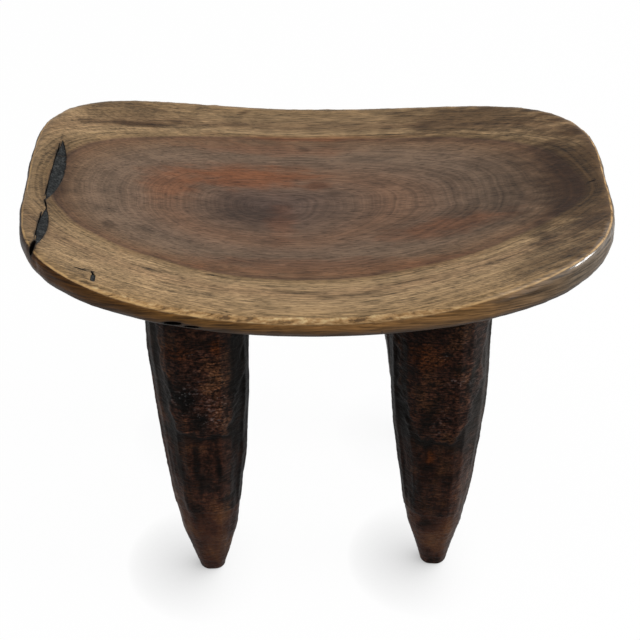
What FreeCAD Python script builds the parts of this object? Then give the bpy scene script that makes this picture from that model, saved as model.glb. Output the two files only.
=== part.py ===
# A hewn stool: a thick dished seat on four tapering legs.
# Millimetres, +Z up. The origin is on the floor under the middle of the seat.
# +X runs along the seat's long side to the right, and -Y is the front.
import FreeCAD, Part
import math
import os

from FreeCAD import Vector

# Seat plan: a rounded rectangle whose four corners were hewn by eye.
seat_width = 460.0
seat_depth = 303.0
left_extra_depth = 5.7  # what the left end has over the mean depth, and the right end lacks
squareness_front_left = 3.94  # superellipse exponents: 2 is an ellipse, larger is squarer
squareness_front_right = 3.09
squareness_rear_left = 3.58
squareness_rear_right = 3.60
outline_steps = 64

# Seat section: a dish between two raised ends, thinner towards its rim.
seat_height = 308.0  # floor to the bottom of the dish
left_rise = 35.5
right_rise = 23.5
rear_rise = 4.0
front_rise = 1.2
front_left_lift = 15.0  # how much the front corners rise over their end and their edge, at the plan's box
front_right_lift = 30.0
middle_thickness = 34.0
end_thickness = 23.0  # at the middle of each end
edge_thickness = 18.5  # at the middle of the rear edge
top_round = 6.5
bottom_round = 7.5
shave_cuts = 2  # narrow flats that round off each edge of the rim, as a shave leaves them

# Legs: eight broad flats with shaved arrises, a parabolic taper and a whittled straight tip.
leg_end_inset = 137.0  # from the seat's end to the leg's axis
leg_side_inset = 65.5  # from the seat's long edge to the leg's axis
leg_shoulder_width = 80.0
leg_tip_shoulder_width = 45.5
leg_foot_width = 20.0
leg_tip_height = 52.0
arris_share = 0.23  # of the width, cut off at each corner of a square
arris_shave_share = 0.07  # of the width, what the narrow flat on each arris takes from its neighbours
foot_chamfer = 2.0
# How each leg differs from its nominal place and shape, as hewn by eye: how far it stands off in
# x and y, how much fatter it is, its turn in degrees, and how far its foot leans out in x.
leg_wander = {
    "leg_front_left": (-2.8, 1.5, -1.0, 3.0, 4.0),
    "leg_front_right": (0.5, 6.0, -0.6, -4.0, 3.5),
    "leg_rear_left": (-5.8, -2.0, 0.0, -3.0, 1.5),
    "leg_rear_right": (-0.5, -2.0, 1.0, 5.0, -1.5),
}

# Joint: a round tenon on each leg in a blind mortise under the seat.
tenon_radius = 23.0
tenon_length = 16.0
tenon_clearance = 0.15
mortise_end_gap = 1.0

# Repairs near the left end: dark filler let into an old crack and into a small chip.
# Places are shares of the way from the seat's middle to the inner edge of its rounding, in x and y.
fill_depth = 4.0
rear_fill_tip_shares = ((-0.9257, 0.4055), (-0.9477, -0.2207))
rear_fill_bulges = (1.8, 8.4)  # towards the end and towards the middle of the seat
front_fill_tip_shares = ((-0.9387, -0.2793), (-0.9432, -0.6759))
front_fill_bulges = (2.8, 4.6)
chip_fill_place_share = (-0.7485, -0.869)
chip_fill_length = 10.0
chip_fill_width = 3.6
# The crack runs on from the front fill and opens as a notch in the rim.
notch_gap = 2.0  # wood left between the fill's tip and the notch
notch_width = 7.0
notch_reach = 26.0
notch_drop = 13.0

dish_margin = 20.0  # how far the dish surfaces run past the plan before they are trimmed
seam_tolerance = 0.02
round_limit = 0.45  # of the rim's thinnest place, the most that one rounding may take

half_width = seat_width / 2
half_depth = seat_depth / 2
end_thinning = middle_thickness - end_thickness
edge_thinning = middle_thickness - edge_thickness
underside_height = seat_height - middle_thickness


def dish_height(x, y, middle, end, edge, lift):
    """Height of one quarter of a dish: it rises to its end, to its edge, and more where they meet."""
    u, v = (x / half_width) ** 2, (y / half_depth) ** 2
    return middle + end * u + edge * v + lift * u * v


def top_height(x, y):
    end = left_rise if x < 0 else right_rise
    if y > 0:
        return dish_height(x, y, seat_height, end, rear_rise, 0)
    return dish_height(x, y, seat_height, end, front_rise, front_left_lift if x < 0 else front_right_lift)


def underside(x, y):
    end = left_rise if x < 0 else right_rise
    return dish_height(x, y, underside_height, end + end_thinning, rear_rise + edge_thinning, 0)


def outline_point(angle, inset):
    """A point of the seat's plan, counted from the left end and moved inwards.

    The plan is a superellipse with its own exponent in each quarter.
    """
    across, along = -math.cos(angle) / half_width, -math.sin(angle) / half_depth
    if along < 0:
        power = squareness_front_left if across < 0 else squareness_front_right
    else:
        power = squareness_rear_left if across < 0 else squareness_rear_right
    size = (abs(across) ** power + abs(along) ** power) ** (1 / power)
    u, v = across / size, along / size
    depth_here = half_depth - u * left_extra_depth / 2
    outward = Vector(
        math.copysign(abs(u) ** (power - 1), u) / half_width,
        math.copysign(abs(v) ** (power - 1), v) / depth_here,
        0,
    )
    return Vector(half_width * u, depth_here * v, 0) - outward.normalize() * inset


def ring(inset, height, lift):
    """A closed curve round the seat: the plan moved inwards, laid on a dish and lifted off it."""
    angles = [2 * math.pi * i / outline_steps for i in range(outline_steps + 1)]
    points = []
    for angle in angles[:-1]:
        p = outline_point(angle, inset)
        points.append(Vector(p.x, p.y, height(p.x, p.y) + lift))
    curve = Part.BSplineCurve()
    curve.interpolate(Points=points, Parameters=angles, PeriodicFlag=True)
    return curve


def band_face(upper, lower):
    """A narrow flat round the rim, straight across from one ring to the next."""
    surface = Part.BSplineSurface()
    surface.buildFromPolesMultsKnots(
        [upper.getPoles(), lower.getPoles()], [2, 2], upper.getMultiplicities(), [0.0, 1.0], upper.getKnots(),
        False, True, 1, upper.Degree,
    )
    return surface.toShape()


def dish_face(rim, height):
    """The dish inside one ring: four quarters of parabolas both ways, smooth where they meet."""
    reach_x, reach_y = half_width + dish_margin, half_depth + dish_margin
    poles = []
    for x in (-reach_x, -reach_x / 2, reach_x / 2, reach_x):
        end = x if abs(x) == reach_x else 0
        row = []
        for y in (-reach_y, -reach_y / 2, reach_y / 2, reach_y):
            edge = y if abs(y) == reach_y else 0
            row.append(Vector(x, y, height(end, edge)))
        poles.append(row)
    surface = Part.BSplineSurface()
    surface.buildFromPolesMultsKnots(
        poles, [3, 1, 3], [3, 1, 3], [0.0, 0.5, 1.0], [0.0, 0.5, 1.0], False, False, 2, 2
    )
    face = Part.Face(surface, Part.Wire(rim.toShape()))
    face.validate()
    return face


def rim_rings():
    """Rings down the rim: over the upper rounding, down the wall and under the lower rounding."""
    sides = [outline_point(math.radians(45 * i), 0) for i in range(8)]
    thinnest = min(top_height(p.x, p.y) - underside(p.x, p.y) for p in sides)
    upper = min(top_round, round_limit * thinnest)
    lower = min(bottom_round, round_limit * thinnest)
    turns = [math.pi / 2 * i / shave_cuts for i in range(shave_cuts + 1)]
    over = [ring(upper * (1 - math.sin(t)), top_height, upper * (math.cos(t) - 1)) for t in turns]
    under = [ring(lower * (1 - math.cos(t)), underside, lower * (1 - math.sin(t))) for t in turns]
    return over + under


def seat_blank():
    """The seat before its mortises and repairs: two dishes joined by the rim."""
    rings = rim_rings()
    bands = [band_face(upper, lower) for upper, lower in zip(rings, rings[1:])]
    return closed_solid([dish_face(rings[0], top_height), *bands, dish_face(rings[-1], underside)])


def closed_solid(faces):
    """One solid inside faces that meet edge to edge."""
    shell = Part.Shell(faces)
    shell.sewShape(seam_tolerance)
    solid = Part.Solid(shell)
    return solid if solid.Volume > 0 else Part.Solid(shell.reversed())


def unit_section():
    """Corners of a section one wide: an octagon with a narrow flat cut across each of its corners."""
    half, cut = 0.5, 0.5 - arris_share
    octagon = [
        Vector(half, -cut, 0), Vector(half, cut, 0), Vector(cut, half, 0), Vector(-cut, half, 0),
        Vector(-half, cut, 0), Vector(-half, -cut, 0), Vector(-cut, -half, 0), Vector(cut, -half, 0),
    ]
    corners = []
    for i, corner in enumerate(octagon):
        for neighbour in (octagon[i - 1], octagon[(i + 1) % 8]):
            corners.append(corner + (neighbour - corner).normalize() * arris_shave_share)
    return corners


def tapered_flat(rows):
    """One flat of a leg: straight across, and plane or curved along by its rows of control points."""
    degree = len(rows) - 1
    if degree == 1:
        (a, b), (c, d) = rows
        return Part.Face(Part.makePolygon([a, b, d, c, a]))
    surface = Part.BSplineSurface()
    surface.buildFromPolesMultsKnots(
        rows, [degree + 1] * 2, [2, 2], [0.0, 1.0], [0.0, 1.0], False, False, degree, 1
    )
    return surface.toShape()


def hewn_post(spans, lean):
    """A solid whose section keeps its shape and changes width: each span lists control rings (z, width).

    It leans straight: its foot stands off its top by lean, in x.
    """
    corners = unit_section()
    sides = list(zip(corners, corners[1:] + corners[:1]))
    top = spans[-1][-1][0]

    def placed(corner, z, width):
        return Vector(corner.x * width + lean * (1 - z / top), corner.y * width, z)

    faces = []
    for span in spans:
        for a, b in sides:
            faces.append(tapered_flat([[placed(a, *level), placed(b, *level)] for level in span]))
    for level in (spans[0][0], spans[-1][-1]):
        loop = [placed(corner, *level) for corner in corners]
        faces.append(Part.Face(Part.makePolygon(loop + loop[:1])))
    return closed_solid(faces)


def leg_place(name):
    """A leg's axis in plan: its nominal corner, and where it wandered to."""
    dx, dy, _, _, _ = leg_wander[name]
    side = -1 if "left" in name else 1
    row = -1 if "front" in name else 1
    return side * (half_width - leg_end_inset) + dx, row * (half_depth - leg_side_inset) + dy


def leg(name, blank):
    """Whittled tip, parabolic taper that ends upright at the seat, and a tenon above the shoulder."""
    x, y = leg_place(name)
    _, _, fatter, turn, lean = leg_wander[name]
    shoulder = underside(x, y)
    full_width = leg_shoulder_width + fatter
    widening = (leg_tip_shoulder_width - leg_foot_width) / leg_tip_height
    sole = [
        (0.0, leg_foot_width - 2 * foot_chamfer),
        (foot_chamfer, leg_foot_width + widening * foot_chamfer),
    ]
    tip = [sole[-1], (leg_tip_height, leg_tip_shoulder_width)]
    middle_of_taper = (leg_tip_height + shoulder) / 2
    taper = [tip[-1], (middle_of_taper, full_width), (shoulder, full_width)]
    head = [taper[-1], (top_height(half_width, half_depth), full_width)]
    post = hewn_post([sole, tip, taper, head], lean)
    post.rotate(Vector(0, 0, 0), Vector(0, 0, 1), turn)
    post.translate(Vector(x, y, 0))
    tenon = round_post(x, y, tenon_radius, tenon_length)
    under_seat = min(post.cut(blank).Solids, key=lambda piece: piece.CenterOfMass.z)
    return under_seat.fuse(tenon).removeSplitter()


def round_post(x, y, radius, reach):
    """An upright cylinder that reaches into the seat, rooted one radius below the seat's underside."""
    return Part.makeCylinder(radius, radius + reach, Vector(x, y, underside(x, y) - radius))


def mortise(name):
    x, y = leg_place(name)
    return round_post(x, y, tenon_radius + tenon_clearance, tenon_length + mortise_end_gap)


def on_seat(share):
    """A plan point given as shares of the way from the middle to the inner edge of the rounding."""
    return Vector(share[0] * (half_width - top_round), share[1] * (half_depth - top_round), 0)


def lens_face(tip_shares, bulges):
    """A pointed lens between two tips, bulging by one amount to each side."""
    rear, front = (on_seat(share) for share in tip_shares)
    middle = (rear + front) / 2
    along = (front - rear).normalize()
    to_end = Vector(along.y, -along.x, 0)
    if to_end.x > 0:
        to_end = -to_end
    outer = Part.Arc(rear, middle + to_end * bulges[0], front).toShape()
    inner = Part.Arc(front, middle - to_end * bulges[1], rear).toShape()
    return Part.Face(Part.Wire([outer, inner]))


def slot_face(place_share, length, width):
    """A slot with round ends that lies along Y."""
    centre = on_seat(place_share)
    r, h = width / 2, (length - width) / 2
    right, left, up = Vector(r, 0, 0), Vector(-r, 0, 0), Vector(0, h, 0)
    edges = [
        Part.LineSegment(centre + right - up, centre + right + up).toShape(),
        Part.Arc(centre + right + up, centre + up + Vector(0, r, 0), centre + left + up).toShape(),
        Part.LineSegment(centre + left + up, centre + left - up).toShape(),
        Part.Arc(centre + left - up, centre - up - Vector(0, r, 0), centre + right - up).toShape(),
    ]
    return Part.Face(Part.Wire(edges))


def filler_column(face):
    """The space of one repair: from fill_depth under the dish, straight up past it."""
    centre = face.CenterOfMass
    floor = top_height(centre.x, centre.y) - fill_depth
    face.translate(Vector(0, 0, floor))
    return face.extrude(Vector(0, 0, middle_thickness))


def rim_notch():
    """The open end of the crack: a wedge through the upper rim, widening outwards."""
    rear, front = (on_seat(share) for share in front_fill_tip_shares)
    along = (front - rear).normalize()
    start = front + along * notch_gap
    across = Vector(-along.y, along.x, 0) * (notch_width / 2)
    mouth = start + along * notch_reach
    outline = Part.makePolygon([start, mouth + across, mouth - across, start])
    wedge = Part.Face(outline)
    wedge.translate(Vector(0, 0, top_height(start.x, start.y) - notch_drop))
    return wedge.extrude(Vector(0, 0, middle_thickness))


def build():
    """Every piece of the stool, by name."""
    blank = seat_blank()
    columns = {
        "crack_fill_rear": filler_column(lens_face(rear_fill_tip_shares, rear_fill_bulges)),
        "crack_fill_front": filler_column(lens_face(front_fill_tip_shares, front_fill_bulges)),
        "chip_fill": filler_column(slot_face(chip_fill_place_share, chip_fill_length, chip_fill_width)),
    }
    notched = blank.cut(rim_notch())
    pieces = {name: notched.common(column) for name, column in columns.items()}
    pieces["seat"] = notched.cut(list(columns.values()) + [mortise(name) for name in leg_wander])
    for name in leg_wander:
        pieces[name] = leg(name, blank)
    return pieces


def main():
    os.makedirs("parts", exist_ok=True)
    for name, shape in build().items():
        shape.exportStep(os.path.join("parts", name + ".step"))
        print(f"{name}: {len(shape.Solids)} solid, {shape.Volume / 1000:.1f} cm3, valid {shape.isValid()}")


main()
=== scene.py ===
# %% [markdown]
# # A hewn stool, dressed
#
# The solids give this stool its true size and joints. Here they get what a hand and many years gave the
# real one: a seat hollowed with an adze and worn smooth, legs left with their tool marks under dark wax,
# an old crack packed with filler, and wood whose growth rings show where the hollow cuts through them.
# First the solids are loaded, and the box that they fill is kept, so that the carving can put stray points
# back inside it. First the solids are loaded, and the box that they fill is kept, because nothing may grow
# past it.

# %% Load the solids
import bpy
import math
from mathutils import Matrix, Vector, noise


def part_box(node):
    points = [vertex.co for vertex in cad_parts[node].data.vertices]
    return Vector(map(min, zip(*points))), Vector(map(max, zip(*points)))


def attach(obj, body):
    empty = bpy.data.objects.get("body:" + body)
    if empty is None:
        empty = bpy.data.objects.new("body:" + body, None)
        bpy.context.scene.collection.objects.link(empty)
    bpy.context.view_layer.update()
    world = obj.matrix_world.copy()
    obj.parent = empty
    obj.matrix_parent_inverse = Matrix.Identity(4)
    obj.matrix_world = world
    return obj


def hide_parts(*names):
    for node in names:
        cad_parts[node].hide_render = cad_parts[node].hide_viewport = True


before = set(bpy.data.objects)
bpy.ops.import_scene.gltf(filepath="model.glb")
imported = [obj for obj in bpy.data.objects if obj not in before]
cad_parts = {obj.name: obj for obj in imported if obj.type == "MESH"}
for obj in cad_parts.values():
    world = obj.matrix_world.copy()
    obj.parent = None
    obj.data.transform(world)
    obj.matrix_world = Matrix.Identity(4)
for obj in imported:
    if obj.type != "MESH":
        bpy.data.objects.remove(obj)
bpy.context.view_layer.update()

print("solids:", sorted(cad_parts))

# %% [markdown]
# ## Lengths and colours
#
# Blender counts in metres, and a maker in millimetres, so one value turns the one into the other. Colours are
# written as they look on a screen, in hex, and one function gives the shader the linear light that it wants.

# %% Millimetres and colours
MM = 0.001


def paint(hex_colour):
    """An sRGB hex colour as linear red, green, blue and alpha."""
    channels = [int(hex_colour[i:i + 2], 16) / 255 for i in (0, 2, 4)]
    linear = [c / 12.92 if c <= 0.04045 else ((c + 0.055) / 1.055) ** 2.4 for c in channels]
    return (*linear, 1.0)


print("mid grey in linear light:", round(paint("808080")[0], 3))

# %% [markdown]
# ## Nodes
#
# Every material below is built from nodes, as in the shader editor. One function adds a node, sets it up
# and plugs other nodes into it, and hands back the output that the next node needs. A colour ramp also gets
# its stops: a place from 0 to 1 and a colour each. The Mix node keeps its sockets behind numbers, so those
# get names: numbers go from LOW to HIGH, and colours from UNDER to OVER. Settings that come back often are
# kept once: BLEND lays one colour over another, DARKEN multiplies two, and SOFT rounds off a range's ends.

# %% One function for every node
FACTOR, LOW, HIGH, UNDER, OVER, MIXED = 0, 2, 3, 6, 7, 2
BLEND = {"out": MIXED, "data_type": "RGBA"}
DARKEN = {**BLEND, "blend_type": "MULTIPLY"}
SOFT = {"interpolation_type": "SMOOTHSTEP"}


def new_tree(name):
    """A new material's empty node tree, and the material."""
    material = bpy.data.materials.new(name)
    material.use_nodes = True
    material.node_tree.nodes.clear()
    return material.node_tree, material


def add(tree, kind, inputs, out=0, stops=(), **settings):
    """Adds a node, fills its inputs with values or links, and gives back one of its outputs."""
    node = tree.nodes.new("ShaderNode" + kind)
    for name, value in settings.items():
        setattr(node, name, value)
    for name, value in inputs.items():
        if isinstance(value, bpy.types.NodeSocket):
            tree.links.new(value, node.inputs[name])
        else:
            node.inputs[name].default_value = value
    if stops:
        ramp = node.color_ramp.elements
        for end, (place, colour) in zip(ramp, (stops[0], stops[-1])):
            end.position = place
            end.color = paint(colour)
        for place, colour in stops[1:-1]:
            ramp.new(place).color = paint(colour)
    return node.outputs[out] if node.outputs else None


# %% [markdown]
# ## Stage, light and camera
#
# The stool stands on white paper in soft light. A low softbox on the right makes the worn front corner of the
# rim shine and lets the right end of the dish fall into shade; a wide one overhead and a pale world fill the
# rest. To the camera the paper glows at strength 1, which is white, but it keeps a part of its real shading,
# so the stool's shadow stays on it. Right beside the feet a painted shadow darkens the glow more, on the side
# away from the low softbox, and most beside the front feet.

# %% White paper
FLOOR_SIZE = 12.0
bpy.ops.object.select_all(action="DESELECT")
bpy.ops.mesh.primitive_plane_add(size=FLOOR_SIZE)
floor = bpy.context.object
floor.name = "floor"

# Matte paper: plain white to the eye, with a soft shadow, and a painted shadow in its glow beside the feet.
paper, paper_material = new_tree("white paper")
GLOW_SHARE = 0.975
# The painted shadow beside the feet: how far it reaches, how dark it is in front and behind, and where it
# fades.
CONTACT_REACH = 62 * MM
CONTACT_SHADE, CONTACT_SHADE_BEHIND = 0.76, 0.1
CONTACT_FRONT, CONTACT_BACK = -40 * MM, 20 * MM


def shown_white(tree):
    """1 for the rays that should see a white background: to the camera, and through gloss and glass."""
    camera_ray = add(tree, "LightPath", {}, out="Is Camera Ray")
    glossy_ray = add(tree, "LightPath", {}, out="Is Glossy Ray")
    glass_ray = add(tree, "LightPath", {}, out="Is Transmission Ray")
    either = add(tree, "Math", {0: camera_ray, 1: glossy_ray}, operation="MAXIMUM")
    return add(tree, "Math", {0: either, 1: glass_ray}, operation="MAXIMUM")


share = add(paper, "Math", {0: shown_white(paper), 1: GLOW_SHARE}, operation="MULTIPLY")
plain = add(paper, "BsdfDiffuse", {"Color": paint("f8f8f8")})
RAYS_PER_POINT = 16
# Painted shadow: the glow darkens where the feet hide the sky on the side towards the right.
towards_right = add(paper, "CombineXYZ", {"X": 0.85, "Z": 0.5})
open_sky = add(
    paper, "AmbientOcclusion", {"Distance": CONTACT_REACH, "Normal": towards_right}, out="AO",
    samples=RAYS_PER_POINT,
)
floor_place = add(paper, "TexCoord", {}, out="Object")
behind = add(paper, "SeparateXYZ", {0: floor_place}, out="Y")
shade = add(
    paper, "MapRange",
    {
        "Value": behind, "From Min": CONTACT_FRONT, "From Max": CONTACT_BACK,
        "To Min": CONTACT_SHADE, "To Max": CONTACT_SHADE_BEHIND,
    },
)
lightest = add(paper, "Math", {0: 1.0, 1: shade}, operation="SUBTRACT")
painted_contact_shadow = add(paper, "MapRange", {"Value": open_sky, "To Min": lightest, "To Max": 1.0})
glow = add(paper, "Emission", {"Color": paint("ffffff"), "Strength": painted_contact_shadow})
add(paper, "OutputMaterial", {"Surface": add(paper, "MixShader", {0: share, 1: plain, 2: glow})})
floor.data.materials.append(paper_material)
print("paper of", FLOOR_SIZE, "m, darker up to", round(CONTACT_REACH / MM), "mm from the feet")

# %% Pale world
world = bpy.data.worlds.new("pale studio")
bpy.context.scene.world = world
world.use_nodes = True
air = world.node_tree
air.nodes.clear()
WORLD_FILL = 0.4
strength = add(air, "MapRange", {"Value": shown_white(air), "To Min": WORLD_FILL, "To Max": 1.0})
sky = add(air, "Background", {"Color": paint("ffffff"), "Strength": strength})
add(air, "OutputWorld", {"Surface": sky})
print("world fills the shade at strength", WORLD_FILL)


# %% Softboxes
def softbox(name, place, aim, size, power):
    """A square lamp at a place, turned to face a point."""
    bpy.ops.object.light_add(type="AREA", location=place)
    lamp = bpy.context.object
    lamp.name = name
    lamp.data.size = size
    lamp.data.energy = power
    lamp.rotation_euler = (Vector(aim) - Vector(place)).to_track_quat("-Z", "Y").to_euler()
    print(name, "is", size, "m wide and gives", power, "W")


middle_of_seat = (0.0, 0.0, 0.3)
softbox("softbox right", place=(1.6, -0.2, 1.1), aim=middle_of_seat, size=0.7, power=26.0)
softbox("softbox above", place=(-0.5, -0.3, 2.2), aim=middle_of_seat, size=1.6, power=16.0)

# %% Camera
bpy.context.scene.view_settings.view_transform = "Standard"
SENSOR_WIDTH, LENS = 36.0, 105.85
CAMERA_PLACE = (-12.6 * MM, -1243.8 * MM, 1147.6 * MM)
LOOKS_DOWN, LOOKS_RIGHT = 37.406, 0.624
bpy.ops.object.camera_add(
    location=CAMERA_PLACE,
    rotation=(math.radians(90 - LOOKS_DOWN), 0.0, math.radians(-LOOKS_RIGHT)),
)
camera = bpy.context.object
camera.data.sensor_width = SENSOR_WIDTH
camera.data.lens = LENS
bpy.context.scene.camera = camera
print("camera looks down by", LOOKS_DOWN, "degrees through a lens of", LENS, "mm")

# %% [markdown]
# ## Shaping tools
#
# A solid from CAD is long thin triangles, which no texture can dent. So each piece starts as a copy of its
# solid, its loose triangles merged, and is remeshed into small even squares, as clay of one grain. Smoothing
# rounds its edges a little, as hands do. Then it is carved: a Displace modifier raises and sinks the surface
# by a texture, and a vertex group says where the tool may cut. Points that end up past the solid's box go
# back to it. Which way the skin faces is noted on every point before the carving, for the looks later on.

# %% Copy, remesh, smooth
MERGE_GAP = 0.002 * MM
STROKE_SHARE = 0.5
RIGHT, UP = 0, 2


def pick(*pieces):
    """Selects these pieces alone, the first of them active."""
    bpy.ops.object.select_all(action="DESELECT")
    for piece in pieces:
        piece.select_set(True)
    bpy.context.view_layer.objects.active = pieces[0]


def copy_of(name, *nodes):
    """A new piece: the joined copies of these nodes, with their loose triangles merged."""
    copies = []
    for node in nodes:
        copy = bpy.data.objects.new(name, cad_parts[node].data.copy())
        copy.data.materials.clear()
        bpy.context.collection.objects.link(copy)
        copies.append(copy)
    pick(*copies)
    if len(copies) > 1:
        bpy.ops.object.join()
    bpy.ops.object.mode_set(mode="EDIT")
    bpy.ops.mesh.select_all(action="SELECT")
    bpy.ops.mesh.remove_doubles(threshold=MERGE_GAP)
    bpy.ops.object.mode_set(mode="OBJECT")
    return copies[0]


def apply(piece, kind, **settings):
    """Adds one modifier, sets it up and applies it."""
    modifier = piece.modifiers.new(kind.lower(), kind)
    for name, value in settings.items():
        setattr(modifier, name, value)
    pick(piece)
    bpy.ops.object.modifier_apply(modifier=modifier.name)


def clay(piece, grain, strokes):
    """Remeshes a piece into even squares and smooths it by some strokes."""
    apply(piece, "REMESH", mode="VOXEL", voxel_size=grain, use_smooth_shade=True)
    apply(piece, "SMOOTH", factor=STROKE_SHARE, iterations=strokes)
    print(piece.name, "has", len(piece.data.polygons), "squares of", round(grain / MM, 2), "mm")


def keep_facing(piece, name, axis):
    """Stores on each point how far the skin faces right or up."""
    facing = piece.data.attributes.new(name, "FLOAT", "POINT")
    facing.data.foreach_set("value", [vertex.normal[axis] for vertex in piece.data.vertices])


# %% Where and how the tool cuts
def where(piece, name, rule):
    """A vertex group whose weight at each point comes from a rule of its place, in mm, and its normal."""
    group = piece.vertex_groups.new(name=name)
    for vertex in piece.data.vertices:
        weight = rule(vertex.co / MM, vertex.normal)
        if weight > 0:
            group.add([vertex.index], min(weight, 1.0), "REPLACE")
    return name


def between(low, high, value):
    """0 below low and 1 above high, with a soft step between them. High may be the smaller one."""
    t = min(max((value - low) / (high - low), 0.0), 1.0)
    return t * t * (3 - 2 * t)


def tool_marks(name, kind, size, **settings):
    """A texture for carving, of this kind and with marks of this size."""
    texture = bpy.data.textures.new(name, kind)
    texture.noise_scale = size
    for setting, value in settings.items():
        setattr(texture, setting, value)
    return texture


def carve(piece, texture, depth, stretch=(1, 1, 1), group="", level=0.5):
    """Moves the surface in and out by a texture stretched along the axes. At level 1 it only sinks."""
    bpy.ops.object.empty_add()
    space = bpy.context.object
    space.scale = stretch
    bpy.context.view_layer.update()
    apply(
        piece, "DISPLACE", texture=texture, texture_coords="OBJECT", texture_coords_object=space,
        strength=depth, mid_level=level, vertex_group=group,
    )
    bpy.data.objects.remove(space)


def keep_inside(piece, node):
    """Puts points that a tool pushed past the box of the piece's solid back onto it."""
    low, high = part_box(node)
    for vertex in piece.data.vertices:
        vertex.co = [min(max(c, a), b) for c, a, b in zip(vertex.co, low, high)]


# %% [markdown]
# ## Places on the seat
#
# Much of what follows needs to know where a point of the seat lies: how high the dish is there, and how far
# the point is from the rim's arris, the edge between the dish and the wall. Both follow from the seat's own
# sizes, all in millimetres. The dish rises with the square of the way to its ends, and the outline is a
# rounded rectangle, a curve whose power says how square its corners are.

# %% The dish and its rim in mm
HALF_WIDTH, HALF_DEPTH = 230.0, 151.5
DEEPER_LEFT = 2.85
DISH_BOTTOM = 308.0
LEFT_RISE, RIGHT_RISE, BACK_RISE, FRONT_RISE = 35.5, 23.5, 4.0, 1.2
LEFT_CORNER_RISE, RIGHT_CORNER_RISE = 15.0, 30.0
BACK_POWER, FRONT_LEFT_POWER, FRONT_RIGHT_POWER = 3.6, 3.94, 3.09


def dish_height(x, y):
    """Height of the dish over the floor: it rises to its ends, and most at its front corners."""
    u, v = (x / HALF_WIDTH) ** 2, (y / HALF_DEPTH) ** 2
    end, corner = (LEFT_RISE, LEFT_CORNER_RISE) if x < 0 else (RIGHT_RISE, RIGHT_CORNER_RISE)
    if y > 0:
        return DISH_BOTTOM + end * u + BACK_RISE * v
    return DISH_BOTTOM + end * u + FRONT_RISE * v + corner * u * v


def plan_reach(x, y):
    """1 on the seat's outline as seen from above, and less inside it."""
    power = BACK_POWER
    if y < 0:
        power = FRONT_LEFT_POWER if x < 0 else FRONT_RIGHT_POWER
    half_depth = HALF_DEPTH - DEEPER_LEFT * x / HALF_WIDTH
    return ((abs(x) / HALF_WIDTH) ** power + (abs(y) / half_depth) ** power) ** (1 / power)


def past_arris(x, y, z):
    """How far a point lies round the rim: below 0 on the dish, 0 on the arris, and above 0 down the wall."""
    here = plan_reach(x, y)
    slope = math.hypot(plan_reach(x + 1, y) - here, plan_reach(x, y + 1) - here)
    return dish_height(x, y) - z - (1 - here) / slope


def worn_front(x, y):
    """1 along the front edge from the left corner to past the middle, where it is rubbed most."""
    return between(-215, -110, x) * between(125, 60, x) * between(-40, -80, y)


def ragged(x, y, z):
    """Soft noise between about -1 and 1 at a place that was scaled to the size of its lumps."""
    smoothness, finer, layers = 1.0, 2.0, 3
    return noise.fractal(Vector((x, y, z)), smoothness, finer, layers)


def worn_band(x, y, z):
    """1 on the strip along the arris that is rubbed down to pale wood, broad where the front is most worn."""
    past = past_arris(x, y, z) + 1.6 * ragged(x / 8, y / 8, z / 8)
    broad = worn_front(x, y)
    above, below = 3.0 + 5.5 * broad, 1.0 + 2.5 * broad
    return between(-above - 2.5, -above + 1.5, past) * between(below + 1.2, below - 0.8, past)


def polished(x, y, z):
    """1 on the arris of the right front corner, which the light catches."""
    past = past_arris(x, y, z)
    return between(110, 160, x) * between(-45, -75, y) * between(-7, -3, past) * between(8, 5, past)


def arris_line(x, y):
    """How plainly a thin pale line follows the arris, partly worn wood and partly a painted highlight: most
    at the left front, and round both ends.
    """
    front = between(-50, -90, y)
    left_front, right_front = between(-40, -110, x) * front, 0.5 * between(60, 120, x) * front
    left_end, right_end = 0.6 * between(-195, -215, x), 0.8 * between(185, 212, x)
    return max(left_front, right_front, left_end, right_end)


print("arris of the left end, mm:", round(dish_height(-HALF_WIDTH, 0), 1))

# %% [markdown]
# ## Seat
#
# The slab was hollowed across the grain with an adze, scraped, and then polished by use, so its dish only
# waves a little, while its rim keeps more of the tool and its arris is chipped. The fillers are joined to it
# before the remesh, so that the dish runs on over the crack; their pockets are cut afterwards, with sharp
# edges.

# %% Seat blank
FILLS = ("crack_fill_rear", "crack_fill_front", "chip_fill")
seat = copy_of("stool_seat", "seat", *FILLS)
clay(seat, grain=1.8 * MM, strokes=4)
keep_facing(seat, "upward", UP)


# %% Adze and scraper on the seat
def upright(place, normal):
    """1 where the skin stands upright, on the rim's wall and on its rounded edges."""
    return between(0.93, 0.7, normal.z) * between(-0.9, -0.5, normal.z)


def chippy(place, normal):
    """1 where the arris is chipped most, and less along the rest of it."""
    elsewhere = 0.35
    return worn_band(*place) * (elsewhere + (1 - elsewhere) * worn_front(place.x, place.y))


on_rim = where(seat, "rim", upright)
chipped = where(seat, "arris", chippy)
scraper_waves = tool_marks("scraper waves", "CLOUDS", size=50 * MM)
rim_hewing = tool_marks("rim hewing", "CLOUDS", size=22 * MM)
rim_strokes = tool_marks("rim strokes", "CLOUDS", size=5 * MM)
chips = tool_marks("chips", "CLOUDS", size=4.5 * MM, noise_depth=2)
grain_ridges = tool_marks("grain ridges", "CLOUDS", size=2.2 * MM)
carve(seat, scraper_waves, depth=0.9 * MM, stretch=(1.6, 1.0, 1.0))
carve(seat, rim_hewing, depth=1.6 * MM, group=on_rim)
carve(seat, rim_strokes, depth=0.7 * MM, stretch=(3.0, 2.0, 1.0), group=on_rim)
carve(seat, chips, depth=2.2 * MM, stretch=(1.6, 1.2, 1.0), group=chipped, level=0.8)
carve(seat, grain_ridges, depth=0.2 * MM, stretch=(9.0, 1.0, 1.0))
RUBS = 14
rubbed_round = where(seat, "rubbed", lambda place, normal: polished(*place))
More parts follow.
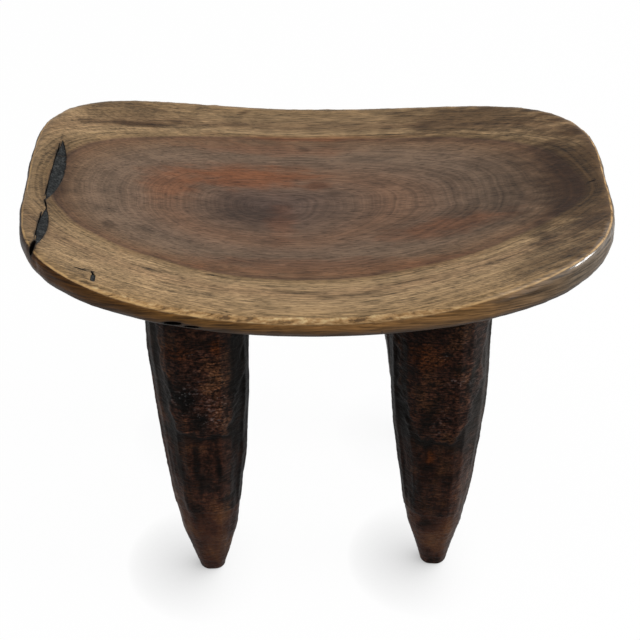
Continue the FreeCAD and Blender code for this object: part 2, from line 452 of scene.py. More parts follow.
apply(seat, "SMOOTH", factor=STROKE_SHARE, iterations=RUBS, vertex_group=rubbed_round)
keep_inside(seat, "seat")
print("groups that say where a tool cuts the seat:", [group.name for group in seat.vertex_groups])

# %% [markdown]
# ## Cracks
#
# Dry wood opens along thin lines: beside the fillers, at the chip, at the right end, and under the front
# edge. Each crack is cut with a blade, a ball squeezed flat and set into the surface; all blades are joined
# and cut out of the seat at once.

# %% Blades
# Each crack: the middle of its line (x, y and depth under the dish), half its length and width, its depth,
# and its turn in degrees.
CRACKS = (
    (-210.8, -36, 0, 6, 0.6, 2.5, 103),
    (-210.6, 13, 0, 40, 0.6, 2.5, 87),
    (-212.8, -68, 0, 22, 0.6, 3.0, 89),
    (-213.5, -101, 0, 9, 1.8, 7.0, 82),
    (-177.5, -117.3, 0, 7, 0.5, 1.6, -8),
    (-168.0, -120.0, 0, 3, 0.7, 2.0, 110),
    (216.0, 6, 0, 8, 0.25, 0.7, 12),
    (-108.5, -149.0, 11.5, 7, 4.5, 2.0, 0),
    (-94.5, -149.0, 11.8, 6, 4.5, 1.5, 0),
    (45.0, -152.0, 13, 0.5, 2.5, 3.0, 0),
)


def blade(x, y, under, half_long, half_wide, depth, turn):
    """A ball squeezed to the shape of one crack and set into the seat."""
    bpy.ops.mesh.primitive_uv_sphere_add(segments=24, ring_count=12, radius=1.0)
    ball = bpy.context.object
    ball.scale = (half_long * MM, half_wide * MM, depth * MM)
    ball.rotation_euler = (0.0, 0.0, math.radians(turn))
    ball.location = (x * MM, y * MM, (dish_height(x, y) - under) * MM)
    bpy.ops.object.transform_apply()
    return ball


blades = [blade(*crack) for crack in CRACKS]
pick(*blades)
bpy.ops.object.join()
apply(seat, "BOOLEAN", operation="DIFFERENCE", object=blades[0], solver="EXACT")
bpy.data.objects.remove(blades[0])
print("seat after its cracks:", len(seat.data.polygons), "faces")


# %% Darkness in the cracks
def in_ellipse(dx, dy, half_long, half_wide, turn):
    """A step from the middle of a turned ellipse, along and aside, counted in its half lengths."""
    c, s = math.cos(math.radians(turn)), math.sin(math.radians(turn))
    return (dx * c + dy * s) / half_long, (dy * c - dx * s) / half_wide


def in_crack(x, y, z):
    """1 in the cut of a blade, and less just beside it, where the seat is coloured near black."""
    deepest = 0.0
    for middle_x, middle_y, under, half_long, half_wide, depth, turn in CRACKS:
        dx, dy = x - middle_x, y - middle_y
        near = 2 * half_long + 8
        if abs(dx) + abs(dy) < near:
            along, aside = in_ellipse(dx, dy, half_long, half_wide, turn)
            down = (dish_height(middle_x, middle_y) - under - z) / depth
            deepest = max(deepest, between(1.5, 1.05, math.hypot(along, aside, down)))
    return deepest


# %% [markdown]
# ## Legs
#
# Each leg was hewn with long strokes of the adze from the seat down to its foot, and its tip was whittled
# with a knife. The grain runs across it, so the blade tore fine level lines. Under the seat a tongue of wood
# was left standing; below its edge the wood is scooped out, and long flutes run down to the tip. The
# shoulder, where a leg meets the seat, and the sole stay uncarved, so that both touch what they rest on.

# %% Places on a leg
LEGS = ("leg_front_left", "leg_front_right", "leg_rear_left", "leg_rear_right")
# The lowest point of the tongue (x from the leg's axis, and height), and the height where the tip begins.
TONGUE = {"left": (4.0, 172.0), "right": (0.0, 160.0)}
TIP_LINE = {"left": 82.0, "right": 72.0}


def side_of(node):
    """The side of the stool that a leg stands on."""
    return "left" if "left" in node else "right"


def middle_of(node):
    """The x of a leg's middle, in mm."""
    low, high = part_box(node)
    return (low.x + high.x) / 2 / MM


LEG_MIDDLE = {node: middle_of(node) for node in LEGS}


def from_axis(node, x):
    """How far a place lies to the right of a leg's middle, in mm."""
    return x - LEG_MIDDLE[node]


def in_tongue(node, x, z):
    """How many mm inside the tongue's edge a place on a leg lies."""
    lowest_x, lowest_z = TONGUE[side_of(node)]
    half_wide, bottom, uneven = 22.0, 15.0, 6.0
    off = (from_axis(node, x) - lowest_x) / half_wide
    slope = 4 * bottom * off ** 3 / half_wide
    wobble = uneven * ragged(x / 12, z / 16, 4.0)
    return (z - lowest_z - bottom * off ** 4) / math.hypot(1.0, slope) + wobble


def scooped(inside, normal):
    """1 right below the tongue's edge, less further down, on the front and the back of a leg."""
    return between(3.0, -4.0, inside) * between(-50, -6, inside) * between(0.2, 0.7, abs(normal.y))


print("middles of the legs, mm:", [round(middle, 1) for middle in LEG_MIDDLE.values()])

# %% Legs with tool marks
# The top of a leg that no tool touches, how soon the marks begin below it, and the same at the sole. Then the
# heights where the flutes begin and end, each a soft step, and how deep the scoop and the tip are cut.
TENON_AND_SHOULDER, FADE, SOLE = 20.0, 15.0, 8.0
FLUTES_BEGIN, FLUTES_END = (60, 90), (185, 150)
SCOOP_DEPTH, TIP_DEPTH = 1.8 * MM, 0.5 * MM


def hewn_leg(node):
    """One leg, remeshed and carved with every tool in turn."""
    leg = copy_of("stool_" + node, node)
    clay(leg, grain=1.35 * MM, strokes=4)
    keep_facing(leg, "facing", RIGHT)
    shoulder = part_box(node)[1].z / MM - TENON_AND_SHOULDER
    tip_line = TIP_LINE[side_of(node)]
    body = where(
        leg, "body",
        lambda place, normal: between(0, SOLE, place.z) * between(shoulder, shoulder - FADE, place.z),
    )
    lower = where(
        leg, "lower",
        lambda place, normal: between(*FLUTES_BEGIN, place.z) * between(*FLUTES_END, place.z),
    )
    tip = where(
        leg, "whittled",
        lambda place, normal: between(0, SOLE, place.z) * between(tip_line + 1, tip_line - 1, place.z),
    )
    scoop = where(leg, "scoop", lambda place, normal: scooped(in_tongue(node, place.x, place.z), normal))
    adze_strokes = tool_marks("adze strokes", "VORONOI", size=26 * MM)
    uneven_strokes = tool_marks("uneven strokes", "CLOUDS", size=26 * MM)
    flutes = tool_marks("flutes", "CLOUDS", size=8 * MM)
    torn_grain = tool_marks("torn grain", "CLOUDS", size=3.2 * MM, noise_depth=2)
    carve(leg, adze_strokes, depth=1.8 * MM, stretch=(1.0, 1.0, 2.6), group=body)
    carve(leg, uneven_strokes, depth=2.2 * MM, stretch=(1.0, 1.0, 2.0), group=body)
    carve(leg, flutes, depth=1.8 * MM, stretch=(1.0, 1.0, 7.0), group=lower)
    carve(leg, torn_grain, depth=0.6 * MM, stretch=(2.2, 2.2, 1.0), group=body)
    apply(leg, "DISPLACE", strength=-SCOOP_DEPTH, mid_level=0.0, vertex_group=scoop)
    apply(leg, "DISPLACE", strength=-TIP_DEPTH, mid_level=0.0, vertex_group=tip)
    keep_inside(leg, node)
    return leg


legs = [hewn_leg(node) for node in LEGS]

# %% [markdown]
# ## Fillers
#
# The crack was packed with a dark paste of dust and glue, which dried a little below the wood and stayed
# grainy. Its pocket in the seat is the filler's own shape with the top pulled up, cut out with a Boolean.

# %% Filler in the crack and the chip
POCKET_LIFT = 4 * MM


def on_top(place, normal):
    """1 where the skin faces up."""
    return between(0.3, 0.7, normal.z)


fills = []
for node in FILLS:
    pocket = copy_of("pocket", node)
    top = where(pocket, "top", on_top)
    apply(pocket, "DISPLACE", direction="Z", strength=POCKET_LIFT, mid_level=0.0, vertex_group=top)
    apply(seat, "BOOLEAN", operation="DIFFERENCE", object=pocket, solver="EXACT")
    bpy.data.objects.remove(pocket)
    fill = copy_of("stool_" + node, node)
    clay(fill, grain=0.5 * MM, strokes=2)
    top = where(fill, "top", on_top)
    carve(fill, tool_marks("dust grains", "CLOUDS", size=1.6 * MM), depth=1.2 * MM, group=top, level=1.0)
    fills.append(fill)

# %% [markdown]
# ## Where the looks change
#
# Some of what the eye sees follows the place on the piece and not the grain: the rings of the log, stains, a
# patch of warmer wood, rubbed edges, and light and shade painted into the colour. Each is worked out once for
# every point of the mesh and kept as an attribute, a number that rides on the point, as vertex paint does. A
# ragged edge comes from noise.


# %% Numbers that ride on points
def keep_number(piece, name, rule):
    """Stores on each point of a piece the number that a rule gives for its place in mm."""
    attribute = piece.data.attributes.new(name, "FLOAT", "POINT")
    numbers = [rule(*(vertex.co / MM)) for vertex in piece.data.vertices]
    attribute.data.foreach_set("value", numbers)
    print(piece.name, name, "from", round(min(numbers), 2), "to", round(max(numbers), 2))


def blots(marks, x, y, seed):
    """How strongly soft ragged ellipses cover a place, by the list of marks given."""
    clear, uneven = 1.0, 0.45
    wobble = uneven * ragged(x / 20, y / 7, seed)
    for middle_x, middle_y, half_long, half_wide, turn, strength in marks:
        dx, dy = x - middle_x, y - middle_y
        near = 2.2 * max(half_long, half_wide)
        if max(abs(dx), abs(dy)) > near:
            continue
        along, aside = in_ellipse(dx, dy, half_long, half_wide, turn)
        clear *= 1 - strength * between(1.4, 0.3, math.hypot(along, aside) + wobble)
    return 1 - clear


# %% Rings of the log
# The oval of heartwood on the dish: half its length, its reach to the back and to the front, and how far its
# innermost ring lies to the left.
HEART_HALF_LONG, HEART_BACK, HEART_FRONT = 211.0, 101.0, 98.0
HEART_TO_LEFT = 48.0


def oval(x, y):
    """1 on the ring where heartwood ends, and less inside it. Its right front corner is cut off more."""
    half_wide, power = HEART_BACK, 2.6
    if y < 0:
        half_wide, power = HEART_FRONT, 2.3 - 0.65 * between(-40, 60, x)
    return ((abs(x) / HEART_HALF_LONG) ** power + (abs(y) / half_wide) ** power) ** (1 / power)


def ring_at(x, y, z):
    """How far out in the log a point of the seat grew: 0 at the heart and 100 where heartwood ends."""
    inwards = max(0.0, 1 - oval(x, y))
    out = oval(x + HEART_TO_LEFT * inwards, y)
    slow_wave, fine_wave = 0.02 * ragged(x / 120, y / 60, 3.0), 0.002 * ragged(x / 30, y / 12, 7.0)
    return 100 * (out + slow_wave + fine_wave)


# %% Stains, painted shade and warm wood of the seat
# Each mark: the middle of an ellipse, its half lengths, its turn in degrees and its strength. The small dark
# marks are stains and pits; the broad ones over the right end and along the back darken the dish partly as
# the wood's own tone and partly as painted shade.
DARK_MARKS = (
    (-55, -8, 40, 24, 0, 0.5),
    (22, -14, 55, 20, 0, 0.12),
    (150, 15, 60, 60, 0, 0.36),
    (100, -30, 60, 28, 12, 0.3),
    (0, -76, 130, 14, 0, 0.18),
    (-212, -20, 24, 110, 0, 0.42),
    (-150, 103, 46, 5, 13.5, 0.95),
    (-80, 117, 40, 3, 8, 0.45),
    (215, 5, 55, 140, 0, 0.94),
    (176, -92, 42, 26, 30, 0.4),
    (164, -101, 24, 7, 20, 0.5),
    (202, -49, 24, 3, 33, 0.6),
    (140, 118, 85, 30, 0, 0.8),
    (20, 128, 190, 22, 0, 0.42),
    (-165, 122, 60, 26, -10, 0.55),
    (193, 46, 9, 20, 15, 0.45),
    (200, 5, 7, 10, 0, 0.3),
    (-162, -47, 5, 7, 20, 0.55),
    (-133, -46, 10, 5, 0, 0.4),
    (-35, -49, 15, 4, 0, 0.4),
    (-12, 86, 6, 4, 0, 0.5),
    (-2, 33, 11, 6, 0, 0.45),
    (13, 21, 8, 4, 0, 0.5),
    (-62, 138, 6, 3, 20, 0.8),
    (-11, -96, 9, 2.5, 0, 0.6),
    (-28, -112, 8, 4, 0, 0.35),
    (66, -104, 22, 1.8, 13, 0.5),
    (10, -118, 24, 1.6, 4, 0.4),
    (-203, -14, 8, 9, 0, 0.55),
    (-206, 12, 8, 52, -3, 0.45),
    (-209, -70, 6, 30, -3, 0.4),
    (-174, -126.5, 6, 2, -30, 0.7),
    (-214, -104, 5, 11, 10, 1.0),
)
WARM_MARKS = (
    (-58, 42, 56, 17, 5, 0.6),
    (-40, 84, 70, 10, 0, 0.3),
    (-120, 25, 24, 24, 60, 0.35),
    (0, 102, 95, 4, 0, 0.4),
    (0, -80, 120, 12, 0, 0.3),
    (100, -32, 50, 13, 14, 0.45),
    (-2, 33, 14, 8, 0, 0.3),
    (-30, -20, 12, 26, 0, 0.25),
)
keep_number(seat, "ring", ring_at)
keep_number(seat, "dark", lambda x, y, z: blots(DARK_MARKS, x, y, 1.0))
keep_number(seat, "warm", lambda x, y, z: blots(WARM_MARKS, x, y, 5.0))
keep_number(seat, "broad", lambda x, y, z: worn_front(x, y))
keep_number(seat, "line", lambda x, y, z: arris_line(x, y))
keep_number(seat, "polish", polished)
keep_number(seat, "past", past_arris)
keep_number(seat, "crack", in_crack)

# %% Stains, warm wood and painted light and shade of the legs
# Each mark lies on the front of a leg: x from its axis, height, half lengths, turn and strength.
BLACK_ON_LEG = {
    "left": (
        (-10, 217, 10, 15, 0, 0.9),
        (-19, 220, 26, 4, -62, 0.9),
        (2, 188, 8, 14, 0, 0.85),
        (30, 235, 6, 60, 0, 0.9),
        (4, 268, 22, 5, 0, 0.6),
        (14, 138, 2.5, 18, 4, 0.9),
        (-4, 150, 3, 26, 0, 0.8),
        (-18, 140, 3, 26, 8, 0.8),
        (18, 98, 10, 4, 0, 0.9),
        (-2, 112, 2, 14, 0, 0.7),
    ),
    "right": (
        (-29, 225, 3, 50, 0, 0.8),
        (2, 254, 6, 2.5, 0, 0.95),
        (14, 240, 8, 6, 0, 0.8),
        (24, 230, 3, 22, -12, 0.9),
        (-8, 190, 5, 26, -20, 0.7),
        (14, 152, 7, 6, 0, 0.8),
        (-8, 130, 8, 4, 0, 0.7),
        (6, 121, 12, 3, 0, 0.6),
        (-2, 84, 14, 3, 0, 0.5),
    ),
}
AMBER_ON_LEG = {
    "left": ((18, 266, 7, 8, 0, 0.9), (-14, 262, 12, 10, 0, 0.35)),
    "right": ((-12, 250, 15, 14, 0, 0.5), (-6, 145, 4, 9, 0, 0.9)),
}
GLINT_ON_LEG = {
    "left": (
        (-8, 214, 15, 16, 0, 0.8),
        (12, 200, 13, 20, 0, 0.8),
        (-2, 258, 6, 4, 0, 1.0),
        (6, 232, 14, 10, 0, 0.5),
    ),
    "right": (
        (17, 226, 13, 6, 0, 1.0),
        (2, 252, 6, 3, 0, 1.0),
        (14, 266, 7, 4, 0, 0.9),
        (2, 185, 8, 20, 0, 0.4),
    ),
}
# Colour round a leg, by how far its skin faces right: the share of brown wood, which paints light and shade
# by which way each side faces, and the share of a grey painted sheen, which stands for the pale room
# reflected.
BROWN_AND_SHADE_ROUND_LEG = {
    "left": ((-0.83, 0.78), (-0.5, 0.45), (-0.17, 0.5), (0.17, 0.95), (0.5, 0.5), (0.83, 0.12)),
    "right": ((-0.83, 0.3), (-0.5, 0.42), (-0.17, 0.42), (0.17, 0.58), (0.5, 0.66), (0.83, 0.3)),
}
PAINTED_SHEEN_ROUND_LEG = {
    "left": ((-0.83, 0.38), (-0.5, 0.02), (-0.17, 0.05), (0.17, 0.0), (0.5, 0.3), (0.83, 0.02)),
    "right": ((-0.83, 0.0), (-0.5, 0.0), (-0.17, 0.0), (0.17, 0.0), (0.5, 0.4), (0.83, 0.85)),
}


def along_list(pairs, value):
    """The number that belongs to a value in a list of pairs, on straight lines between them."""
    if value <= pairs[0][0]:
        return pairs[0][1]
    for (a, number_a), (b, number_b) in zip(pairs, pairs[1:]):
        if value <= b:
            return number_a + (number_b - number_a) * (value - a) / (b - a)
    return pairs[-1][1]


def edge_shade(inside):
    """How dark the corner below the tongue's edge is painted, as painted shade in the crease that the scoop
    cuts.
    """
    darkest = 0.9
    return darkest * between(-12, -3, inside) * between(3, -1, inside)


for leg, node in zip(legs, LEGS):
    side = side_of(node)
    # The black share holds a leg's black marks and the painted shade below the tongue's edge.
    keep_number(leg, "black", lambda x, y, z: max(
        blots(BLACK_ON_LEG[side], from_axis(node, x), z, 2.0 + y / 90), edge_shade(in_tongue(node, x, z))
    ))
    keep_number(leg, "amber", lambda x, y, z: blots(AMBER_ON_LEG[side], from_axis(node, x), z, 6.0 + y / 90))
    keep_number(leg, "glint", lambda x, y, z: blots(GLINT_ON_LEG[side], from_axis(node, x), z, 9.0 + y / 90))
    keep_number(leg, "tongue", lambda x, y, z: between(-2, 2, in_tongue(node, x, z)))
    keep_number(leg, "tip", lambda x, y, z: between(TIP_LINE[side] + 1, TIP_LINE[side] - 1.5, z))
    turns = [point.value for point in leg.data.attributes["facing"].data]
    for name, pairs in (("brown", BROWN_AND_SHADE_ROUND_LEG[side]), ("grey", PAINTED_SHEEN_ROUND_LEG[side])):
        shares = leg.data.attributes.new(name, "FLOAT", "POINT")
        shares.data.foreach_set("value", [along_list(pairs, turn) for turn in turns])

# %% [markdown]
# ## Seat wood
#
# The plank came from the side of a log, whose heart ran along the stool's length well below the dish, so the
# hollow cuts the rings into long ellipses. Inside one ring the wood is red-brown heartwood and outside it
# pale sapwood. Streaks follow the rings, and the pores run along the plank, as short dark dashes. Real pores
# and fibres are a few tenths of a millimetre wide, too fine for the picture, so they are drawn about 1 mm
# wide. Wax gives the wood a dull sheen to the eye, and a wet gleam on the arris of the right front corner.

# %% Seat wood: rings
wood, seat_wood = new_tree("waxed hardwood with heartwood and sapwood")
place = add(wood, "TexCoord", {}, out="Object")
in_mm = add(wood, "VectorMath", {0: place, "Scale": 1 / MM}, operation="SCALE")
along = add(wood, "SeparateXYZ", {0: in_mm}, out="X")
ring, stain_and_shade, warm, broad, line, past, polish, crack, up = (
    add(wood, "Attribute", {}, out="Fac", attribute_name=name)
    for name in ("ring", "dark", "warm", "broad", "line", "past", "polish", "crack", "upward")
)


def lumps(tree, size, detail=3.0):
    """Noise in a material, its lumps of this size in mm along x, y and z."""
    on_piece = add(tree, "TexCoord", {}, out="Object")
    spread = add(tree, "VectorMath", {0: on_piece, 1: [1 / (s * MM) for s in size]}, operation="MULTIPLY")
    return add(
        tree, "TexNoise",
        {"Vector": spread, "Scale": 1.0, "Detail": detail, "Roughness": 0.62, "Distortion": 0.25},
    )


wander = lumps(wood, (80, 40, 40), detail=1.0)
WANDER = 5.0
ring_here = add(wood, "Math", {0: wander, 1: WANDER, 2: ring}, operation="MULTIPLY_ADD")
RING_SPAN = 160.0
ring_share = add(
    wood, "MapRange", {"Value": ring_here, "From Min": WANDER / 2, "From Max": RING_SPAN + WANDER / 2}
)
RING_COLOURS = (
    (0, "52423a"), (20, "58463b"), (33, "644f40"), (45, "694f3d"), (52, "6b5240"), (60, "685343"),
    (72, "695646"), (82, "6a5645"), (90, "6c5541"), (96, "684e39"), (99, "5c4433"), (101.5, "7f6749"),
    (108, "927959"), (118, "876d50"), (130, "967c5b"), (150, "8b7150"),
)
figure = add(
    wood, "ValToRGB", {0: ring_share}, stops=[(number / RING_SPAN, colour) for number, colour in RING_COLOURS]
)
warmed = add(wood, "Mix", {FACTOR: warm, UNDER: figure, OVER: paint("744020")}, **BLEND)
print("rings, from heart to bark, take", len(RING_COLOURS), "colours")

# %% Seat wood: grain, pores and stains
RING_WIDTH = 1.6
ring_step = add(wood, "Math", {0: ring_here, 1: 1 / RING_WIDTH}, operation="MULTIPLY")
ring_tone = add(
    wood, "TexNoise", {"W": ring_step, "Scale": 1.0, "Detail": 3.0, "Roughness": 0.6}, noise_dimensions="1D"
)
STREAK_LENGTH, STREAK_WIDTH = 50.0, 1.7
streak_along = add(wood, "Math", {0: along, 1: 1 / STREAK_LENGTH}, operation="MULTIPLY")
streak_aside = add(wood, "Math", {0: ring_here, 1: 1 / STREAK_WIDTH}, operation="MULTIPLY")
streak_place = add(wood, "CombineXYZ", {"X": streak_along, "Y": streak_aside})
streak = add(
    wood, "TexNoise",
    {"Vector": streak_place, "Scale": 1.0, "Detail": 4.0, "Roughness": 0.62, "Distortion": 0.4},
    noise_dimensions="2D",
)
fibre = lumps(wood, (15, 0.9, 0.9))
cloud = lumps(wood, (28, 14, 14))
SAP_FROM, SAP_FULL = 100.0, 107.0
in_sap = add(wood, "MapRange", {"Value": ring_here, "From Min": SAP_FROM, "From Max": SAP_FULL})
ring_weight = add(wood, "MapRange", {"Value": in_sap, "To Min": 0.5, "To Max": 0.3})
streak_weight = add(wood, "MapRange", {"Value": in_sap, "To Min": 0.9, "To Max": 2.2})
fibre_weight = add(wood, "MapRange", {"Value": in_sap, "To Min": 1.7, "To Max": 2.7})
cloud_weight = 1.2
grain_parts = (
    (ring_tone, ring_weight), (streak, streak_weight), (fibre, fibre_weight), (cloud, cloud_weight),
)
tone = 1.0
for pattern, weight in grain_parts:
    centred = add(wood, "Math", {0: pattern, 1: 0.5}, operation="SUBTRACT")
    tone = add(wood, "Math", {0: centred, 1: weight, 2: tone}, operation="MULTIPLY_ADD")
toned = add(wood, "Mix", {FACTOR: 1.0, UNDER: warmed, OVER: tone}, **DARKEN)
pore = lumps(wood, (7, 1.1, 1.1), detail=1.0)
pores = add(wood, "MapRange", {"Value": pore, "From Min": 0.58, "From Max": 0.7, "To Max": 0.5})
pored = add(wood, "Mix", {FACTOR: pores, UNDER: toned, OVER: paint("5a4c42")}, **DARKEN)
# The dark marks darken the wood: stains and pits, and over the right end and the back partly painted shade.
stained = add(wood, "Mix", {FACTOR: stain_and_shade, UNDER: pored, OVER: paint("7a6f66")}, **DARKEN)

# %% Seat wood: worn arris
# How many mm the pale band grows above and below the arris where it is broad, and how ragged its edges are.
BROADER_ABOVE, BROADER_BELOW = 6.0, 0.6
RAGGED_ABOVE, RAGGED_BELOW = 7.0, 3.0
chip = lumps(wood, (12, 9, 1.8), detail=4.0)
band_above = add(wood, "Math", {0: broad, 1: BROADER_ABOVE, 2: past}, operation="MULTIPLY_ADD")
band_below = add(wood, "Math", {0: broad, 1: BROADER_BELOW}, operation="MULTIPLY")
room_below = add(wood, "Math", {0: band_below, 1: past}, operation="SUBTRACT")
upper_edge = add(wood, "Math", {0: chip, 1: RAGGED_ABOVE, 2: band_above}, operation="MULTIPLY_ADD")
lower_edge = add(wood, "Math", {0: chip, 1: -RAGGED_BELOW, 2: room_below}, operation="MULTIPLY_ADD")
inside_upper = add(wood, "MapRange", {"Value": upper_edge, "From Min": 2.0, "From Max": 4.5}, **SOFT)
inside_lower = add(wood, "MapRange", {"Value": lower_edge, "From Min": -2.6, "From Max": -1.2}, **SOFT)
worn = add(wood, "Math", {0: inside_upper, 1: inside_lower}, operation="MULTIPLY")
MOST_RUBBED = 0.7
rubbed = add(wood, "Math", {0: worn, 1: MOST_RUBBED}, operation="MULTIPLY")
GOLD_COLOURS = ((0.38, "462d14"), (0.46, "8b683d"), (0.54, "ae8a5e"), (0.66, "d3b887"))
gold = add(wood, "ValToRGB", {0: chip}, stops=GOLD_COLOURS)
golden = add(wood, "Mix", {FACTOR: rubbed, UNDER: stained, OVER: gold}, **BLEND)

# %% Seat wood: wall, pale line with painted highlight, painted shade underneath, and cracks
along_share = add(wood, "MapRange", {"Value": along, "From Min": -HALF_WIDTH, "From Max": HALF_WIDTH})
WALL_COLOURS = (
    (0.0, "20150d"), (0.06, "472b0f"), (0.3, "5a3e1d"), (0.5, "684a2a"), (0.75, "705230"), (0.92, "55493b"),
)
wall_plain = add(wood, "ValToRGB", {0: along_share}, stops=WALL_COLOURS)
wall_streak = lumps(wood, (30, 20, 1.6), detail=4.0)
wall_tone = add(
    wood, "MapRange",
    {"Value": wall_streak, "From Min": 0.34, "From Max": 0.66, "To Min": 0.3, "To Max": 1.7},
)
wall_colour = add(wood, "Mix", {FACTOR: 1.0, UNDER: wall_plain, OVER: wall_tone}, **DARKEN)
wall = add(wood, "MapRange", {"Value": lower_edge, "From Min": -1.4, "From Max": -3.0}, **SOFT)
walled = add(wood, "Mix", {FACTOR: wall, UNDER: golden, OVER: wall_colour}, **BLEND)
# A thin pale line on the arris: partly worn wood, partly a painted highlight where the edge catches the
# light.
line_upper = add(wood, "MapRange", {"Value": past, "From Min": -2.8, "From Max": -1.2}, **SOFT)
line_lower = add(wood, "MapRange", {"Value": past, "From Min": 1.0, "From Max": 0.0}, **SOFT)
line_chips = add(wood, "MapRange", {"Value": chip, "From Min": 0.36, "From Max": 0.56, "To Max": 0.9})
line_band = add(wood, "Math", {0: line_upper, 1: line_lower}, operation="MULTIPLY")
line_here = add(wood, "Math", {0: line_band, 1: line_chips}, operation="MULTIPLY")
line_share = add(wood, "Math", {0: line_here, 1: line}, operation="MULTIPLY")
lined_and_highlighted = add(wood, "Mix", {FACTOR: line_share, UNDER: walled, OVER: paint("c09a66")}, **BLEND)
# Painted shade: where the skin faces down, under the rim and the seat, the colour darkens towards near black.
under = add(wood, "MapRange", {"Value": up, "From Min": -0.1, "From Max": -0.45, "To Max": 0.8})
shaded_underneath = add(wood, "Mix", {FACTOR: under, UNDER: lined_and_highlighted, OVER: paint("1c120b")}, **BLEND)
coloured = add(wood, "Mix", {FACTOR: crack, UNDER: shaded_underneath, OVER: paint("0c0806")}, **BLEND)

# %% Seat wood: relief and wax
grain_height = add(wood, "Math", {0: streak, 1: fibre}, operation="ADD")
bumps = add(wood, "Bump", {"Height": grain_height, "Strength": 0.35, "Distance": 0.4 * MM})
spotty = add(wood, "MapRange", {"Value": chip, "From Min": 0.36, "From Max": 0.56, "To Min": 0.3})
shine = add(wood, "Math", {0: polish, 1: spotty}, operation="MULTIPLY")
shader = add(
    wood, "BsdfPrincipled",
    {
        "Base Color": coloured, "Roughness": 0.44, "IOR": 1.5, "Specular IOR Level": 0.1, "Normal": bumps,
        "Coat Weight": shine, "Coat Roughness": 0.16, "Coat IOR": 1.6,
    },
)
add(wood, "OutputMaterial", {"Surface": shader})
print(seat_wood.name, "has", len(wood.nodes), "nodes")

# %% [markdown]
# ## Leg wood
#
# The legs were stained almost black and waxed, and handling has rubbed them brown again on the front. Light
# and shade are also painted into their colour: each side is lighter or darker by which way it faces, a grey
# painted sheen on the sides stands for the pale room reflected in the wax, the tops darken under the seat as
# painted shade, and painted shade fills the corner below the tongue's edge. To the eye the tongue is scaly,
# and glints where its torn wood is thick with wax; below it the flutes run in dark and brown stripes. The
# whittled tip is plainer and browner.

# %% Leg wood: brown and grain
dark, leg_wood = new_tree("dark stained and waxed hardwood")
place = add(dark, "TexCoord", {}, out="Object")
in_mm = add(dark, "VectorMath", {0: place, "Scale": 1 / MM}, operation="SCALE")
black, amber, glint, tongue, tip, brown_and_shade_share, painted_sheen_share = (
    add(dark, "Attribute", {}, out="Fac", attribute_name=name)
    for name in ("black", "amber", "glint", "tongue", "tip", "brown", "grey")
)
patch = lumps(dark, (22, 22, 34), detail=5.0)
torn = lumps(dark, (7, 7, 1.3), detail=4.0)
flute = lumps(dark, (3.5, 3.5, 40), detail=4.0)
crackle = lumps(dark, (2.6, 2.6, 2.2), detail=4.0)
BROWN_COLOURS = ((0.34, "1a0f0a"), (0.5, "3b2218"), (0.66, "533521"))
brown = add(dark, "ValToRGB", {0: patch}, stops=BROWN_COLOURS)
ambered = add(dark, "Mix", {FACTOR: amber, UNDER: brown, OVER: paint("5e3010")}, **BLEND)
torn_tone = add(
    dark, "MapRange", {"Value": torn, "From Min": 0.36, "From Max": 0.64, "To Min": 0.1, "To Max": 1.9}
)
crackle_tone = add(
    dark, "MapRange", {"Value": crackle, "From Min": 0.37, "From Max": 0.63, "To Min": 0.15, "To Max": 1.85}
)
scaly = add(dark, "Math", {0: torn_tone, 1: crackle_tone}, operation="MULTIPLY")
fluted = add(
    dark, "MapRange", {"Value": flute, "From Min": 0.36, "From Max": 0.64, "To Min": 0.3, "To Max": 1.7}
)
SCALES_IN_FLUTES, PLAIN_ON_TIP = 0.6, 0.65
fluted_torn = add(dark, "Mix", {FACTOR: SCALES_IN_FLUTES, LOW: fluted, HIGH: scaly})
grain = add(dark, "Mix", {FACTOR: tongue, LOW: fluted_torn, HIGH: scaly})
plainer = add(dark, "Math", {0: tip, 1: PLAIN_ON_TIP}, operation="MULTIPLY")
tone = add(dark, "Mix", {FACTOR: plainer, LOW: grain, HIGH: 1.0})
# On the tip the tone also follows which way the skin faces, as painted light and shade.
tip_painted_shade = add(dark, "MapRange", {"Value": painted_sheen_share, "From Max": 0.85, "To Min": 1.15, "To Max": 0.45})
painted_shade_round = add(dark, "Mix", {FACTOR: plainer, LOW: brown_and_shade_share, HIGH: tip_painted_shade})
# Painted shade under the seat: the colour darkens towards the top of a leg, to half at the shoulder.
DARKER_FROM, DARKEST_AT = 245.0, 285.0
high_up = add(dark, "SeparateXYZ", {0: in_mm}, out="Z")
painted_shade_under_seat = add(
    dark, "MapRange",
    {"Value": high_up, "From Min": DARKER_FROM, "From Max": DARKEST_AT, "To Min": 1.0, "To Max": 0.5},
)
painted_shade_tone = add(dark, "Math", {0: painted_shade_round, 1: painted_shade_under_seat}, operation="MULTIPLY")
full_tone = add(dark, "Math", {0: tone, 1: painted_shade_tone}, operation="MULTIPLY")
wood_light = add(dark, "VectorMath", {0: ambered, "Scale": full_tone}, operation="SCALE")
blacked = add(dark, "Mix", {FACTOR: black, UNDER: wood_light, OVER: paint("040302")}, **BLEND)

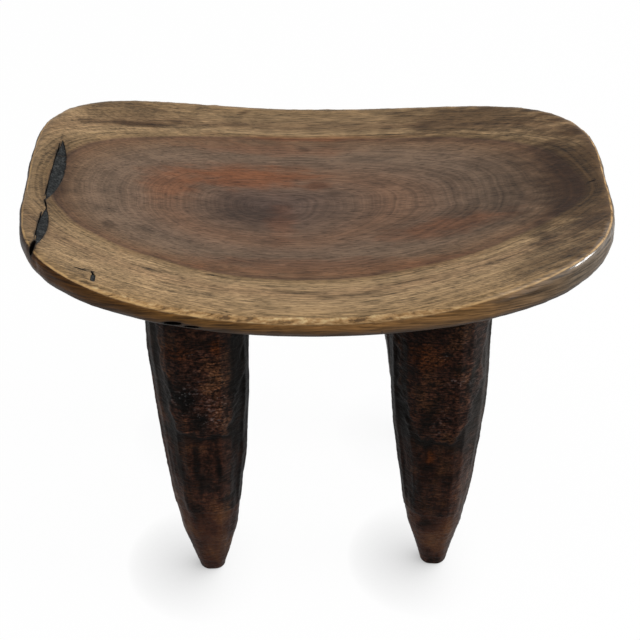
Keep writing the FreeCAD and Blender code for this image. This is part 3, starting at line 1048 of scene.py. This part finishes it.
# %% Leg wood: painted sheen, relief and glints
# A grey painted sheen, a painted reflection of the room on the sides, with some of the grain in it.
GRAIN_IN_SHEEN = 0.35
sheen_patch = add(
    dark, "MapRange", {"Value": patch, "From Min": 0.36, "From Max": 0.64, "To Min": 0.55, "To Max": 1.4}
)
sheen_grain = add(dark, "Mix", {FACTOR: GRAIN_IN_SHEEN, LOW: sheen_patch, HIGH: grain})
painted_sheen = add(dark, "Math", {0: sheen_grain, 1: painted_sheen_share}, operation="MULTIPLY")
painted_sheen_light = add(dark, "VectorMath", {0: paint("2e2c2a")[:3], "Scale": painted_sheen}, operation="SCALE")
leg_colour = add(dark, "VectorMath", {0: blacked, 1: painted_sheen_light}, operation="ADD")
rough_skin = add(dark, "Math", {0: torn, 1: crackle}, operation="ADD")
bumps = add(dark, "Bump", {"Height": rough_skin, "Strength": 0.6, "Distance": 0.9 * MM})
waxy = add(dark, "MapRange", {"Value": crackle, "From Min": 0.57, "From Max": 0.66})
wax = add(dark, "Math", {0: waxy, 1: glint}, operation="MULTIPLY")
shader = add(
    dark, "BsdfPrincipled",
    {
        "Base Color": leg_colour, "Roughness": 0.4, "IOR": 1.5, "Specular IOR Level": 0.025, "Normal": bumps,
        "Coat Weight": wax, "Coat Roughness": 0.15, "Coat Normal": bumps,
    },
)
add(dark, "OutputMaterial", {"Surface": shader})
print(leg_wood.name, "has", len(dark.nodes), "nodes")

# %% [markdown]
# ## Filler
#
# The paste of dust and glue dried dull and blue-grey. To the eye it looks packed and not painted, because
# fine grains and larger patches share its colour between them.

# %% Filler nodes
dust, filler = new_tree("dried dark filler")
dust_grain = lumps(dust, (1.6, 1.6, 1.6), detail=2.0)
dust_patch = lumps(dust, (9.0, 9.0, 9.0), detail=2.0)
dust_mix = add(dust, "Mix", {FACTOR: 0.5, LOW: dust_grain, HIGH: dust_patch})
DUST_COLOURS = ((0.4, "161718"), (0.5, "242626"), (0.6, "3e3f3e"))
dust_colour = add(dust, "ValToRGB", {0: dust_mix}, stops=DUST_COLOURS)
shader = add(
    dust, "BsdfPrincipled",
    {"Base Color": dust_colour, "Roughness": 0.6, "IOR": 1.5, "Specular IOR Level": 0.1},
)
add(dust, "OutputMaterial", {"Surface": shader})
print(filler.name, "has", len(dust.nodes), "nodes")

# %% [markdown]
# ## Put together
#
# Every dressed piece stands for its solid, gets its material, and rides on the stool's one body.

# %% Dressed pieces for solids
seat.data.materials.clear()
dressed = [(seat, "seat", seat_wood, "seat_wood")]
dressed += [(leg, node, leg_wood, "leg_wood") for leg, node in zip(legs, LEGS)]
dressed += [(fill, node, filler, "crack_filler") for fill, node in zip(fills, FILLS)]
for piece, node, material, slot in dressed:
    piece.data.materials.append(material)
    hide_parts(node)
    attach(piece, "root")
    triangles = sum(len(face.vertices) - 2 for face in piece.data.polygons)
    print(piece.name, "stands for", node, "with", triangles, "triangles")
